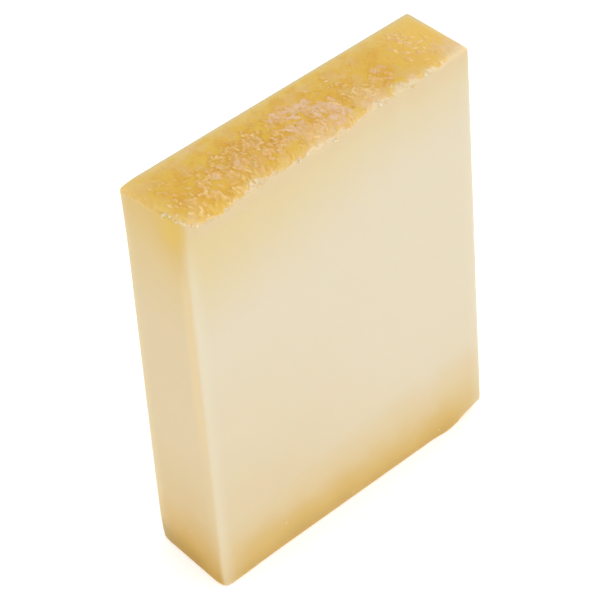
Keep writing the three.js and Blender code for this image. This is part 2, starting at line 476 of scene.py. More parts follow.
def new_scales(random, x, y, size, turn, pinkness, brightness):
    """Rows for scales at given places, each of its own form and tone."""
    count = len(x)
    turns = random.normal(*turn, count)
    lengths = size * random.uniform(*SCALE_LENGTHS, count) / 2
    widths = size * random.uniform(*SCALE_WIDTHS, count) / 2
    heights = random.uniform(*SCALE_HEIGHTS, count) / size**SCALE_THINNING
    pinks = np.clip(random.normal(pinkness, SCALE_PINK_SPREAD, count), 0, 1)
    brights = np.clip(random.normal(brightness, SCALE_BRIGHT_SPREAD, count), 0, 1)
    return list(zip(x, y, turns, lengths, widths, heights, pinks, brights))


def lay_scales(points):
    """Height, cover, pinkness and brightness of the topmost scale at each point, and the crowd around it."""
    x, y, _ = points.T
    order = np.argsort(x)
    wavy = SCALE_WAVE * rough(points, SCALE_WAVE_SIZE, SCALE_WAVE_OCTAVES)
    laid = np.zeros((4, len(points)))
    crowd = np.zeros(len(points))
    for middle_x, middle_y, turn, long, wide, high, pink, bright in SCALES:
        reach = SCALE_REACH * long + CROWD_REACH
        span = np.searchsorted(x[order], (middle_x - reach, middle_x + reach))
        near = order[slice(*span)]
        right = x[near] - middle_x
        back = y[near] - middle_y
        crowd[near] += fade(np.hypot(right, back), CROWD_REACH)
        along = (back * math.cos(turn) - right * math.sin(turn)) / long
        across = (right * math.cos(turn) + back * math.sin(turn)) / wide
        cover = smooth_step(np.hypot(along, across) + wavy[near], *SCALE_RIM)
        height = high * cover * (SCALE_LEVEL + SCALE_SLOPE * along)
        upper = height > laid[0, near]
        laid[:2, near[upper]] = height[upper], cover[upper]
        laid[2:, near[upper]] = [[pink], [bright]]
    return [*laid, np.clip(crowd, 0, 1)]


def peach_cover(points):
    """How thin and pale the rind is at a place, from zero to one."""
    x, y, _ = points.T
    torn = rough(points + PEACH_SHIFT, PEACH_TEAR_SIZE)
    return smooth_step(patches(x, y, PEACH_PATCHES) + PEACH_TEAR * torn, *PEACH_SPAN)


def calm_edges(points):
    """One inside the rind, falling to zero at its smooth back edge and ends."""
    _, back, left, right = sides_of(points)
    return smooth_step(np.minimum(back, right), *CALM_SPAN) * smooth_step(left, *CALM_LEFT_SPAN)


def add_relief(plain, points):
    """Adds the crust's relief on the rind, the ragged edge and the slow waves of the cut faces."""
    depth = rind_depth(plain)
    moved = points.copy()
    moved[:, 2] += crust_relief(plain, depth)
    moved += ragged_edge(plain, depth)
    moved[:, 1] += cut_waves(plain, depth)
    return moved


def crust_relief(plain, depth):
    """Height of the rind's scales, grain and slow swell at each point."""
    height = np.zeros(len(plain))
    chosen = depth > CRUST_LIMIT
    near = plain[chosen]
    scales = lay_scales(near)[0]
    fine = GRAIN_HEIGHT * rough(near * (1, 1 / GRAIN_STRETCH, 1), GRAIN_SIZE)
    swell = SWELL_HEIGHT * rough(near, SWELL_SIZE)
    height[chosen] = rind_cover(near) * calm_edges(near) * (RIND_LIFT + scales + fine + swell)
    return height


def ragged_edge(plain, depth):
    """Small chips and bulges close to the front line where the rind meets the cut face."""
    shift = np.zeros_like(plain)
    _, y, _ = plain.T
    _, _, _, right = sides_of(plain)
    close = np.exp(-((depth / RAGGED_EDGE_REACH) ** 2))
    close = close * smooth_step(y, *RAGGED_FRONT_SPAN) * smooth_step(right, *RAGGED_RIGHT_SPAN)
    chosen = close > RAGGED_LEAST
    near = plain[chosen]
    for axis in range(3):
        start = RAGGED_SHIFT * (axis + 1)
        shift[chosen, axis] = RAGGED_EDGE_HEIGHT * close[chosen] * rough(near + start, RAGGED_EDGE_SIZE)
    return shift


def cut_waves(plain, depth):
    """Slow unevenness of the broad cut faces, which the knife left."""
    on_cut = smooth_step(-depth, *CUT_TOP_SPAN) * smooth_step(plain[:, 2], *CUT_FOOT_SPAN)
    faces = np.abs(plain[:, 1]) > TOP_THICKNESS / 2 - EDGE_RADIUS
    waves = np.zeros(len(plain))
    waves[faces] = CUT_WAVE_HEIGHT * rough(plain[faces] * (1, 1, 1 / CUT_WAVE_STRETCH), CUT_WAVE_SIZE)
    return waves * on_cut


def form(plain):
    """Carries points of the plain block to their places on the cheese, in millimetres."""
    points = soften(plain)
    points = slope_chips(points)
    points = wear_shoulder(points)
    points = lift_toe(points)
    points = swell_foot(points)
    points = wear_corners(points)
    points = wear_left_end(points)
    points = lean(points)
    points = add_relief(plain, points)
    # The right end stands where the solid's does, and the foot is cut flat
    high_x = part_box("cheese_chunk")[1][0] / MM
    points[:, 0] += high_x - LENGTH / 2
    points[:, 2] = np.maximum(points[:, 2], 0)
    return points


# Meshes


def graded_lines(length):
    """Line positions from 0 to a length: coarse lines, closer at both ends, each step cut into a few."""
    inner = length - 2 * EDGE_RADIUS
    count = round(inner / (TOP_STEP * LINE_CUTS))
    middle = EDGE_RADIUS + inner * np.arange(1, count) / count
    coarse = np.array([*EDGE_LINES, *middle, *[length - line for line in reversed(EDGE_LINES)]])
    places = np.arange((len(coarse) - 1) * LINE_CUTS + 1) / LINE_CUTS
    return np.interp(places, np.arange(len(coarse)), coarse)


def side_rows():
    """Rows down the sides from the top: height of each, and which of the top's lines it keeps."""
    fine_end = HEIGHT - FINE_DEPTH
    middle_end = HEIGHT - MIDDLE_DEPTH
    foot = [line - FOOT_TRIM for line in reversed(EDGE_LINES)]
    coarse_rows = round((middle_end - foot[0]) / COARSE_STEP)
    fine = np.linspace(HEIGHT, fine_end, FINE_ROWS + 1)[1:]
    middle = np.linspace(fine_end, middle_end, MIDDLE_ROWS + 1)[1:]
    coarse = np.linspace(middle_end, foot[0], coarse_rows + 1)[1:]
    rows = [(z, 1) for z in fine] + [(z, LINE_CUTS // 2) for z in middle]
    return rows + [(z, LINE_CUTS) for z in [*coarse, *foot[1:]]]


def quads_of(numbers):
    """Quads of a grid of point numbers, facing along rows crossed with columns."""
    corners = [numbers[:-1, :-1], numbers[1:, :-1], numbers[1:, 1:], numbers[:-1, 1:]]
    return np.stack(corners, axis=-1).reshape(-1, 4).tolist()


def rim_of(numbers):
    """The numbers round the border of a grid: along the front, right, back and left."""
    return np.concatenate([numbers[:-1, 0], numbers[-1, :-1], numbers[:0:-1, -1], numbers[0, :0:-1]])


def band(upper, lower):
    """Faces between two rims, of which the lower one may have fewer points."""
    share = len(upper) // len(lower)
    faces = []
    for place in range(len(lower)):
        after = (place + 1) % len(lower)
        above = [int(upper[(place * share + step) % len(upper)]) for step in range(share, -1, -1)]
        faces.append([int(lower[place]), int(lower[after]), *above])
    return faces


def plain_block():
    """Points and faces of the closed plain block, finest on its top and coarser further down."""
    xs = graded_lines(LENGTH) - LENGTH / 2
    ys = graded_lines(TOP_THICKNESS) - TOP_THICKNESS / 2
    top = np.arange(len(xs) * len(ys)).reshape(len(xs), len(ys))
    points = np.column_stack([np.repeat(xs, len(ys)), np.tile(ys, len(xs)), np.full(top.size, HEIGHT)])
    faces = quads_of(top)
    outline = points[rim_of(top)]
    above = rim_of(top)
    for z, skip in side_rows():
        row = np.column_stack([outline[::skip, :2], np.full(len(outline) // skip, z)])
        below = len(points) + np.arange(len(row))
        points = np.concatenate([points, row])
        faces += band(above, below)
        above = below
    return close_foot(points, faces, above, xs[::LINE_CUTS], ys[::LINE_CUTS])


def close_foot(points, faces, rim, xs, ys):
    """Closes the block underneath with a grid whose border is the lowest rim."""
    wide, deep = len(xs) - 1, len(ys) - 1
    inner_x, inner_y = np.meshgrid(xs[1:-1], ys[1:-1], indexing="ij")
    inner = np.column_stack([inner_x.ravel(), inner_y.ravel(), np.full(inner_x.size, -FOOT_TRIM)])
    numbers = np.zeros((wide + 1, deep + 1), dtype=int)
    numbers[1:-1, 1:-1] = len(points) + np.arange(len(inner)).reshape(inner_x.shape)
    front, right, back, left = np.split(rim, [wide, wide + deep, 2 * wide + deep])
    numbers[:-1, 0] = front
    numbers[-1, :-1] = right
    numbers[:0:-1, -1] = back
    numbers[0, :0:-1] = left
    faces += [face[::-1] for face in quads_of(numbers)]
    return np.concatenate([points, inner]), faces


def new_piece(name, points, faces, material):
    """A smooth object made from points in millimetres, riding on the part's one body."""
    mesh = bpy.data.meshes.new(name)
    mesh.from_pydata((np.asarray(points) * MM).tolist(), [], [list(face) for face in faces])
    mesh.polygons.foreach_set("use_smooth", [True] * len(mesh.polygons))
    mesh.materials.append(material)
    mesh.update()
    piece = bpy.data.objects.new(name, mesh)
    bpy.context.scene.collection.objects.link(piece)
    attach(piece, "root")
    return piece


def paint(piece, name, values):
    """Stores one number for each point of a piece, for its material to read."""
    layer = piece.data.attributes.new(name, "FLOAT", "POINT")
    layer.data.foreach_set("value", np.asarray(values, dtype=np.float32))


def end_share(plain):
    """One on the two narrow end faces and zero on the broad ones, blended most near the top."""
    front, back, left, right = sides_of(plain)
    inward = np.minimum(front, back) - np.minimum(left, right)
    z = plain[:, 2]
    far, near = END_TOP_DEPTHS
    near_top = smooth_step(z, HEIGHT - far, HEIGHT - near)
    near_foot = fade(z, END_FOOT_REACH)
    blends = []
    for plain_size, top_size, foot_size in (END_MIDDLES, END_HALVES):
        blends.append(plain_size + top_size * near_top + foot_size * near_foot)
    middle, half = blends
    return smooth_step(inward, middle - half, middle + half)


def top_share(plain):
    """One on the flat of the top, falling to zero round its edges."""
    inward = np.minimum.reduce(sides_of(plain))
    over = np.clip(1 - inward / EDGE_RADIUS, 0, 1)
    down = np.clip((HEIGHT - plain[:, 2]) / EDGE_RADIUS, 0, 1)
    return 1 - smooth_step(over + down, *TOP_ROUND_SPAN)


def edge_distance(plain):
    """Distance of a point on the upright sides from the nearest upright edge."""
    front, back, left, right = sides_of(plain)
    return np.hypot(np.minimum(front, back), np.minimum(left, right))


def make_body(material):
    """The slab with its rind, in place of the plain solid."""
    plain, faces = plain_block()
    body = new_piece("cheese_body", form(plain), faces, material)
    _, cover, pink, bright, crowd = lay_scales(plain)
    upper = calm_edges(plain) * (plain[:, 2] > HEIGHT - EDGE_RADIUS)
    paint(body, "scale_cover", cover * upper)
    paint(body, "scale_crowd", crowd * upper)
    paint(body, "scale_pink", pink)
    paint(body, "scale_bright", bright)
    paint(body, "block_height", plain[:, 2])
    for measure in (rind_depth, rind_cover, peach_cover, top_share, end_share, edge_distance):
        paint(body, measure.__name__, measure(plain))
    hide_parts("cheese_chunk")


def rind_surface(places):
    """Surface points at places on the rind, with the direction out of it at each."""
    right = np.array([NORMAL_REACH, 0, 0])
    back = np.array([0, NORMAL_REACH, 0])
    flat = np.column_stack([places, np.full(len(places), HEIGHT)])
    middle = form(flat)
    along = form(flat + right) - form(flat - right)
    across = form(flat + back) - form(flat - back)
    out = np.cross(along, across)
    out /= np.linalg.norm(out, axis=1, keepdims=True)
    return middle, out


def flake(random, length, width, thickness):
    """An irregular thin flake with a sloped rim: points about its middle, and faces."""
    count = FLAKE_CORNERS
    here = np.arange(count)
    beside = (here + 1) % count
    angles = (here + random.uniform(-FLAKE_CORNER_SHIFT, FLAKE_CORNER_SHIFT, count)) * 2 * np.pi / count
    reach = random.uniform(*FLAKE_CORNER_REACHES, count)
    outline = np.stack([np.cos(angles) * reach * width / 2, np.sin(angles) * reach * length / 2], axis=1)
    rings = []
    for share, low, high in FLAKE_RINGS:
        rings.append(np.column_stack([outline * share, thickness * random.uniform(low, high, count)]))
    points = np.concatenate([*rings, [[0, 0, thickness]]])
    faces = [here[::-1].tolist()]
    for first in (0, count):
        faces += (np.stack([here, beside, beside + count, here + count], axis=1) + first).tolist()
    tip = np.full(count, len(points) - 1)
    faces += np.stack([here + 2 * count, beside + 2 * count, tip], axis=1).tolist()
    return points, faces


def turned(points, out, spin):
    """Points turned so that their own upward direction is out, and spun about it."""
    upward = Vector(out).to_track_quat("Z", "Y").to_matrix()
    turn = np.array(upward @ Matrix.Rotation(spin, 3, "Z"))
    return points @ turn.T


def join(shapes):
    """One list of points and one of faces from many small shapes."""
    points = []
    faces = []
    first = 0
    for shape_points, shape_faces in shapes:
        points.append(shape_points)
        faces += [[int(first + corner) for corner in face] for face in shape_faces]
        first += len(shape_points)
    return np.concatenate(points), faces


def make_flakes(material):
    """Loose flakes that lie on some of the scales, each a little tilted."""
    random = np.random.default_rng(SEED + 1)
    rows = np.array(SCALES)
    flat = np.column_stack([rows[:, :2], np.full(len(rows), HEIGHT)])
    drawn = random.uniform(0, 1, len(rows)) < FLAKE_SHARE
    on_crust = (rind_cover(flat) > FLAKE_LEAST_COVER) & (calm_edges(flat) > FLAKE_LEAST_COVER)
    rows = rows[drawn & on_crust]
    middle, out = rind_surface(rows[:, :2])
    shapes = []
    tones = []
    for point, normal, row in zip(middle, out, rows):
        _, _, turn, long, wide, _, pink, bright = row
        length = min(FLAKE_FIT * long, FLAKE_LENGTH)
        width = min(FLAKE_FIT * wide, FLAKE_WIDTH)
        points, faces = flake(random, length, width, random.uniform(*FLAKE_THICKNESSES))
        tilt = normal + random.normal(0, FLAKE_TILT, 3)
        shapes.append((point + turned(points, tilt, turn), faces))
        tones += [(pink, bright)] * len(points)
    points, faces = join(shapes)
    flakes = new_piece("rind_flakes", points, faces, material)
    paint(flakes, "scale_pink", [pink for pink, _ in tones])
    paint(flakes, "scale_bright", [bright for _, bright in tones])


def crumb_places(random):
    """Places on the plain block for the crumbs: along its top front and left edges, and the specks."""
    x = np.concatenate([random.normal(middle, CRUMB_SPREAD, count) for middle, count in CRUMB_PLACES])
    chip = np.interp(x, CHIP_PLACES, CHIP_DEPTHS)
    y = -TOP_THICKNESS / 2 + np.maximum(0, chip + random.normal(*CRUMB_SET_BACK, len(x)))
    below = np.where(y > -TOP_THICKNESS / 2, 0, np.abs(random.normal(0, CRUMB_DROP, len(x))))
    front = np.column_stack([x, y, HEIGHT - below])
    side_y = random.uniform(*LEFT_CRUMB_SPAN, LEFT_CRUMBS)
    side_below = np.abs(random.normal(0, CRUMB_DROP, LEFT_CRUMBS))
    left = np.column_stack([np.full(LEFT_CRUMBS, -LENGTH / 2), side_y, HEIGHT - side_below])
    return np.concatenate([front, left, SPECKS])


def make_crumbs(material):
    """Little chips along the ragged line where the rind meets the cut faces, and a few specks lower down."""
    random = np.random.default_rng(SEED + 2)
    places = crumb_places(random)
    upper = places[:, 2] > HEIGHT - CRUMB_DEPTH
    on_left = places[:, 0] <= -LENGTH / 2
    outward = np.where(on_left[:, None], (-1, 0, 0), (0, -1, 0)) + np.outer(upper, (0, 0, CRUMB_UPWARD))
    sizes = np.where(upper, 1, SPECK_SIZE) * np.where(on_left, LEFT_CRUMB_SIZE, 1)
    shapes = []
    tones = []
    for point, normal, size in zip(form(places), outward, sizes):
        length = size * random.uniform(*CRUMB_LENGTHS)
        width = length * random.uniform(*CRUMB_WIDTH_SHARES)
        points, faces = flake(random, length, width, random.uniform(*CRUMB_THICKNESSES))
        tilt = normal + random.normal(0, CRUMB_TILT * size, 3)
        shapes.append((point + turned(points, tilt, random.uniform(0, 2 * np.pi)), faces))
        tones += [random.uniform(0, 1)] * len(points)
    points, faces = join(shapes)
    crumbs = new_piece("edge_crumbs", points, faces, material)
    paint(crumbs, "tone", tones)


# Materials


def colour(red, green, blue):
    """A shader colour from screen values of 0 to 255."""
    shares = [value / 255 for value in (red, green, blue)]
    linear = [share / 12.92 if share <= 0.04045 else ((share + 0.055) / 1.055) ** 2.4 for share in shares]
    return (*linear, 1)


PASTE = colour(217, 205, 179)
PASTE_UNDER_RIND = colour(216, 195, 140)
PASTE_NEAR_FOOT = colour(213, 190, 143)
# Gold towards the foot: the paste's own colour near the lower rind, with painted shade in it
PASTE_GOLD_AND_FOOT_SHADE = colour(206, 173, 99)
PASTE_FOOT_AND_SHADE = colour(196, 162, 90)
# A painted highlight along the upright edges
PASTE_EDGE_PAINTED_HIGHLIGHT = colour(219, 211, 186)
PASTE_LIP = colour(216, 193, 155)
# The bare top's paste, painted lighter for the little light it gets
PASTE_TOP_PAINTED_LIGHT = colour(231, 210, 170)
PASTE_CORNER = colour(234, 212, 168)
# A painted warm shade that deepens the end faces
END_PAINTED_WARM_SHADE = (0.995, 0.912, 0.745, 1)
END_GOLD = colour(214, 178, 92)
END_PATCH = colour(220, 184, 78)
# A painted glow of light through the front upright edge
END_PAINTED_EDGE_GLOW = colour(227, 201, 151)
# The ends' foot gold with painted shade in it, and a painted contact shadow towards the sole
END_FOOT_GOLD_AND_SHADE = colour(196, 152, 42)
END_SOLE_PAINTED_SHADOW = colour(152, 122, 42)
END_RIM = colour(222, 204, 160)
RIND_AMBER = colour(223, 171, 64)
RIND_GOLD = colour(227, 183, 78)
# Deeper rind tone for random spots, and painted shade between crowded scales
RIND_DEEP_AND_GAP_SHADE = colour(212, 161, 60)
RIND_LEMON = colour(228, 189, 71)
RIND_TAN = colour(225, 186, 120)
RIND_PALE = colour(230, 200, 120)
RIND_YELLOW = colour(236, 194, 96)
RIND_FRINGE = colour(236, 206, 134)
RIND_RIM = colour(219, 201, 151)
RIND_END = colour(235, 213, 152)
RIND_PEACH = colour(232, 198, 150)
RIND_LOWER = colour(168, 132, 74)
SCALE_YELLOW = colour(230, 192, 104)
SCALE_PEACH = colour(234, 187, 120)
SCALE_PINK = colour(231, 195, 164)
SCALE_CREAM = colour(243, 208, 144)
CRUMB_GOLD = colour(234, 204, 140)
CRUMB_CREAM = colour(238, 222, 188)
FLOOR_GREY = colour(236, 236, 236)
FLOOR_WHITE = colour(240, 240, 240)
WHITE = (1, 1, 1, 1)

# Grains of noise: size in millimetres, detail and stretch
GRAINS = {
    "cloud": (14, 4),
    "ragged": (0.7, 4, (1, 2, 2)),
    "streaks": (0.6, 4, (1, 3, 1)),
    "fine": (0.35, 3),
    "slow": (5, 3),
    "lemon": (4.2, 2),
    "spots": (1.6, 3),
    "tan": (4, 2, (1, 1, 2)),
    "patchy": (3, 3),
    "worn": (1.1, 4, (1, 2, 1)),
    "flake_mottle": (0.5, 3),
    "flake_relief": (0.2, 3),
    "crumb_mottle": (0.6, 2),
    "crumb_relief": (0.25, 3),
    "floor": (60, 2),
}
NOISE_MIDDLE = 0.5
CLOUD_HEIGHT = 9.0
RAGGED_SHARE = 1.6

# Spans as strength reads them: along and across in metres, heights, depths and distances in millimetres
LEFTWARD = [("along", 0.025, -0.038)]
INWARD = [("along", -0.042, -0.036)]
ON_RIND = [("ragged_cover", 0.15, 0.85)]
DENSE = [("on_rind",), ("along", -0.0425, -0.0405, 0.3, 1)]
UNDERSIDE = [("block_height", 0.1, -0.25)]
BROAD = ("end_share", 1, 0)
INNER = ("edge_distance", 1, 11, 0.28, 1)
BARE_TOP = [("top_share",), ("across", -0.003, -0.008)]
SCALE_SHOWS = [("scale_cover",), ("scale_bright", 0, 0.5, 0.55, 1), ("streaks", 0.3, 0.55, 0.5, 1)]

# Measures joined from two lots of spans
JOINED = {
    "under_rind": (
        "ADD",
        [("leftward",), ("rind_depth", -40, -4, 0, 0.85)],
        [("along", -0.038, 0.025), ("rind_depth", -27, 0, 0, 0.6)],
    ),
    "near_foot": ("MAXIMUM", [("height", 46, 14), ("leftward", 0, 1, 0.15, 0.5)], [("height", 28, 9)]),
    "wedge": ("ADD", [("rind_depth",)], [("across", 0.008, -0.009, 7, 18)]),
    # Random deeper spots, and painted shade in the gaps among crowded scales
    "spots_and_gap_shade": (
        "MAXIMUM",
        [("spots", 0.55, 0.68, 0, 0.6)],
        [("scale_crowd", 0.1, 0.8, 0, 0.68), ("along", -0.034, -0.018, 0.4, 1)],
    ),
}

# The paste on the broad faces: colours laid over its own in turn, and the spans of each
PASTE_LAYERS = [
    (PASTE_UNDER_RIND, [("under_rind",)]),
    (PASTE_LIP, [("rind_depth", -9, -3, 0, 0.6), BROAD]),
    (PASTE_NEAR_FOOT, [("leftward",), BROAD, ("height", 80, 38, 0, 0.25)]),
    (PASTE_NEAR_FOOT, [("near_foot",)]),
    # Golden towards the foot: partly the paste's own gold near the lower rind, partly painted shade where
    # less light reaches
    (PASTE_GOLD_AND_FOOT_SHADE, [("height", 14, 3.5), INNER]),
    (PASTE_FOOT_AND_SHADE, [("height", 5.5, 0), INNER, ("along", 0.030, 0.036, 1, 0.4)]),
    # Painted highlight: the paste paler along the upright edges, as light through and on them
    (PASTE_EDGE_PAINTED_HIGHLIGHT, [("edge_distance", 4.5, 0.5, 0, 0.45), ("rind_depth", -4, -20), ("height", 0, 14, 0.65, 1)]),
]

# The end faces: a golden wedge and patch, a painted glow of light through the front edge as a pale line, the
# foot's gold with painted shade in it, painted contact shadow towards its sole, and the back edge
END_FOOT_FADE = 0.9
END_LAYERS = [
    (END_GOLD, [("end_share",), ("wedge", -7, 16, 0, 0.75)]),
    (END_PATCH, [("end_share",), ("rind_depth", -13, -5), ("across", 0.001, -0.006, 0, 0.7)]),
    # Painted glow: a pale line of light through the front upright edge
    (
        END_PAINTED_EDGE_GLOW,
        [
            ("end_share",),
            ("edge_distance", 4, 2, 0, 0.6),
            ("edge_distance", 0.2, 1.6, 0.2, 1),
            ("height", 35, 55),
            ("rind_depth", -12, -26),
            ("across", 0, -0.004),
        ],
    ),
    # Painted shade in the foot's gold, then painted contact shadow towards the sole
    (END_FOOT_GOLD_AND_SHADE, [("end_share",), ("foot_fade",), ("across", 0.011, -0.003, 0.1, 1)]),
    (END_SOLE_PAINTED_SHADOW, [("end_share",), ("height", 9.5, 0), ("across", -0.009, -0.002, 0.2, 0.5)]),
    (END_RIM, [("end_share",), ("across", 0.0080, 0.0105, 0, 0.6), ("height", 5, 20)]),
]

# The bare top in front of the rind, painted lighter to make up for the little light it gets, paler still in
# the right corner
TOP_LAYERS = [(PASTE_CORNER, [("along", 0.030, 0.039)])]

# The rind: mottling, deeper spots and painted shade in the gaps among crowded scales, the yellower right, and
# the pale back, borders and ends
RIND_LAYERS = [
    (RIND_GOLD, [("slow", 0.38, 0.62)]),
    (RIND_LEMON, [("lemon", 0.46, 0.6, 0, 0.5)]),
    # Deeper spots and painted shade between crowded scales, less towards the right
    (RIND_DEEP_AND_GAP_SHADE, [("spots_and_gap_shade",), ("along", 0.022, 0.004, 0.35, 1)]),
    (RIND_TAN, [("tan", 0.5, 0.66, 0, 0.5)]),
    (RIND_YELLOW, [("along", 0.022, 0.038)]),
    (RIND_PALE, [("across", 0.003, 0.0098), ("patchy", 0.4, 0.58, 0.35, 0.85)]),
    (
        RIND_FRINGE,
        [("rind_depth", 2.4, 0, 0, 0.75), ("inward", 0, 1, 0.6, 1), ("streaks", 0.4, 0.62, 0.35, 1)],
    ),
    (RIND_END, [("rind_depth", 2.6, -0.4, 0, 0.8), ("along", 0.036, 0.041)]),
    (RIND_FRINGE, [("along", -0.038, -0.0425, 0, 0.3)]),
    (
        RIND_RIM,
        [("rind_depth", 2, 0.6, 0, 0.95), ("rind_depth", -1.2, 0.3), ("across", 0, 0.006), ("inward",)],
    ),
    (RIND_PEACH, [("peach_cover",), ("worn", 0.35, 0.6, 0.4, 0.9)]),
]
LOWER_RIND_SHARE = 0.6

# Scales from yellow through peach to pink, the brightest ones cream, and the loose pieces
SCALE_LAYERS = [
    (SCALE_PEACH, [("scale_pink", 0, 0.5)]),
    (SCALE_PINK, [("scale_pink", 0.5, 1)]),
    (SCALE_CREAM, [("scale_bright", 0.55, 1)]),
]
FLAKE_LAYERS = [(RIND_TAN, [("flake_mottle", 0.4, 0.65, 0, 0.3)])]
CRUMB_LAYERS = [(CRUMB_CREAM, [("tone", 0.2, 0.9)]), (PASTE_TOP_PAINTED_LIGHT, [("crumb_mottle", 0.4, 0.65, 0, 0.5)])]

# Gloss as roughness and specular level, bumps as strength and depth in millimetres
CHEESE_ROUGHNESS = [("on_rind", 0, 1, 0.5, 0.62)]
CHEESE_SPECULAR = 0.3
FLAKE_GLOSS = (0.5, 0.4)
CRUMB_GLOSS = (0.6, 0.3)
FLOOR_GLOSS = (0.9, 0.1)
CHEESE_BUMP = (0.7, 0.16)
CHEESE_RELIEF = [("on_rind", 0, 1, 0.12, 1.0)]
LOOSE_BUMP = (0.4, 0.05)
FLOOR_GLOW = 0.4

# Light that sinks in: how much, the shares of red, green and blue, and the depth in millimetres
LIGHT_WEIGHT = [("dense", 0, 1, 0.7, 0.1)]
LIGHT_RADII = (1.0, 0.75, 0.5)
LIGHT_DEPTH = 2.0

# Numbers of the sockets of a colour mix: its factor and two colours, and its result
MIX_INPUTS = (0, 6, 7)
MIX_RESULT = 2


def fill(tree, socket, value):
    """Sets an input to a value, or links an output to it."""
    if isinstance(value, bpy.types.NodeSocket):
        tree.links.new(value, socket)
    else:
        socket.default_value = value


def fill_inputs(tree, node, **inputs):
    """Sets or links inputs of a node by their names."""
    for name, value in inputs.items():
        fill(tree, node.inputs[name.replace("_", " ")], value)


def add_node(tree, kind, settings=None, **inputs):
    """A shader node with its settings, and its inputs set to values or linked to outputs."""
    made = tree.nodes.new("ShaderNode" + kind)
    for name, value in (settings or {}).items():
        setattr(made, name, value)
    fill_inputs(tree, made, **inputs)
    return made


def mix(tree, factor, first, second, blend="MIX"):
    """A colour between two colours, or between one and its product with the other."""
    made = add_node(tree, "Mix", {"data_type": "RGBA", "blend_type": blend})
    for index, value in zip(MIX_INPUTS, (factor, first, second)):
        fill(tree, made.inputs[index], value)
    return made.outputs[MIX_RESULT]


def spread(tree, value, low, high, to_low=0.0, to_high=1.0):
    """A value carried smoothly from one range to another."""
    ends = {"From_Min": low, "From_Max": high, "To_Min": to_low, "To_Max": to_high}
    made = add_node(tree, "MapRange", {"interpolation_type": "SMOOTHSTEP"}, Value=value, **ends)
    return made.outputs["Result"]


def maths(tree, operation, first, second):
    """The sum, product or like of two numbers."""
    made = add_node(tree, "Math", {"operation": operation})
    for socket, value in zip(made.inputs, (first, second)):
        fill(tree, socket, value)
    return made.outputs["Value"]


def times(tree, first, *others):
    """The product of numbers."""
    for other in others:
        first = maths(tree, "MULTIPLY", first, other)
    return first


def own_place(tree):
    """The piece's own coordinates."""
    return add_node(tree, "TexCoord").outputs["Object"]


def grain(tree, name):
    """Noise with a grain size, longer along the stretched directions."""
    size, detail, *stretch = GRAINS[name]
    scale = [1 / share for share in (stretch[0] if stretch else (1, 1, 1))]
    scaled = add_node(tree, "Mapping", Vector=own_place(tree), Scale=scale)
    made = add_node(tree, "TexNoise", Vector=scaled.outputs["Vector"], Scale=1 / (size * MM), Detail=detail)
    return made.outputs["Fac"]


def painted(tree, name):
    """The number stored on the piece's points under a name."""
    return add_node(tree, "Attribute", {"attribute_name": name}).outputs["Fac"]


def wavering(tree, name, grain_name, amount):
    """A painted number that goes up and down with a noise."""
    shift = maths(tree, "SUBTRACT", grain(tree, grain_name), NOISE_MIDDLE)
    return maths(tree, "ADD", painted(tree, name), times(tree, shift, amount))


def find_measure(tree, known, name):
    """A measure that was worked out before, else a noise, else a number painted on the piece."""
    if name in known:
        return known[name]
    if name in GRAINS:
        return grain(tree, name)
    return painted(tree, name)


def strength(tree, known, spans):
    """How strong a tone is: the product of its spans.

    A span has the name of a measure, the two values of it where the tone starts and is full, and the tone's
    shares there if they aren't none and all. A measure named alone counts as it is.
    """
    factors = []
    for name, *ends in spans:
        value = find_measure(tree, known, name)
        factors.append(spread(tree, value, *ends) if ends else value)
    return times(tree, *factors)


def layered(tree, known, ground, layers):
    """A colour with others laid over it in turn, each as strong as its spans say."""
    for tone, spans in layers:
        ground = mix(tree, strength(tree, known, spans), ground, tone)
    return ground


def new_material(name):
    """An empty material, its node tree and its surface shader."""
    material = bpy.data.materials.new(name)
    material.use_nodes = True
    tree = material.node_tree
    return material, tree, tree.nodes["Principled BSDF"]


def set_surface(tree, shader, tone, roughness, specular):
    """Gives a surface its colour and its gloss."""
    fill_inputs(tree, shader, Base_Color=tone, Roughness=roughness, Specular_IOR_Level=specular)


def add_bump(tree, shader, height, amount, depth):
    """Gives a surface a fine relief."""
    bump = add_node(tree, "Bump", Height=height, Strength=amount, Distance=depth * MM)
    fill_inputs(tree, shader, Normal=bump.outputs["Normal"])


def let_light_in(tree, shader, known):
    """Lets light sink into the paste, red the deepest, and only a little into the rind."""
    weight = strength(tree, known, LIGHT_WEIGHT)
    scale = LIGHT_DEPTH * MM
    fill_inputs(tree, shader, Subsurface_Weight=weight, Subsurface_Radius=LIGHT_RADII, Subsurface_Scale=scale)


def cheese_measures(tree):
    """The measures that the tones of the cheese go by, besides noises and painted numbers."""
    places = add_node(tree, "SeparateXYZ", Vector=own_place(tree)).outputs
    known = {"along": places["X"], "across": places["Y"], "streaks": grain(tree, "streaks")}
    known["height"] = wavering(tree, "block_height", "cloud", CLOUD_HEIGHT)
    known["foot_fade"] = maths(tree, "POWER", END_FOOT_FADE, known["height"])
    known["ragged_cover"] = wavering(tree, "rind_cover", "ragged", RAGGED_SHARE)
    known["on_rind"] = strength(tree, known, ON_RIND)
    known["dense"] = strength(tree, known, DENSE)
    known["leftward"] = strength(tree, known, LEFTWARD)
    known["inward"] = strength(tree, known, INWARD)
    for name, (operation, first, second) in JOINED.items():
        known[name] = maths(tree, operation, strength(tree, known, first), strength(tree, known, second))
    return known


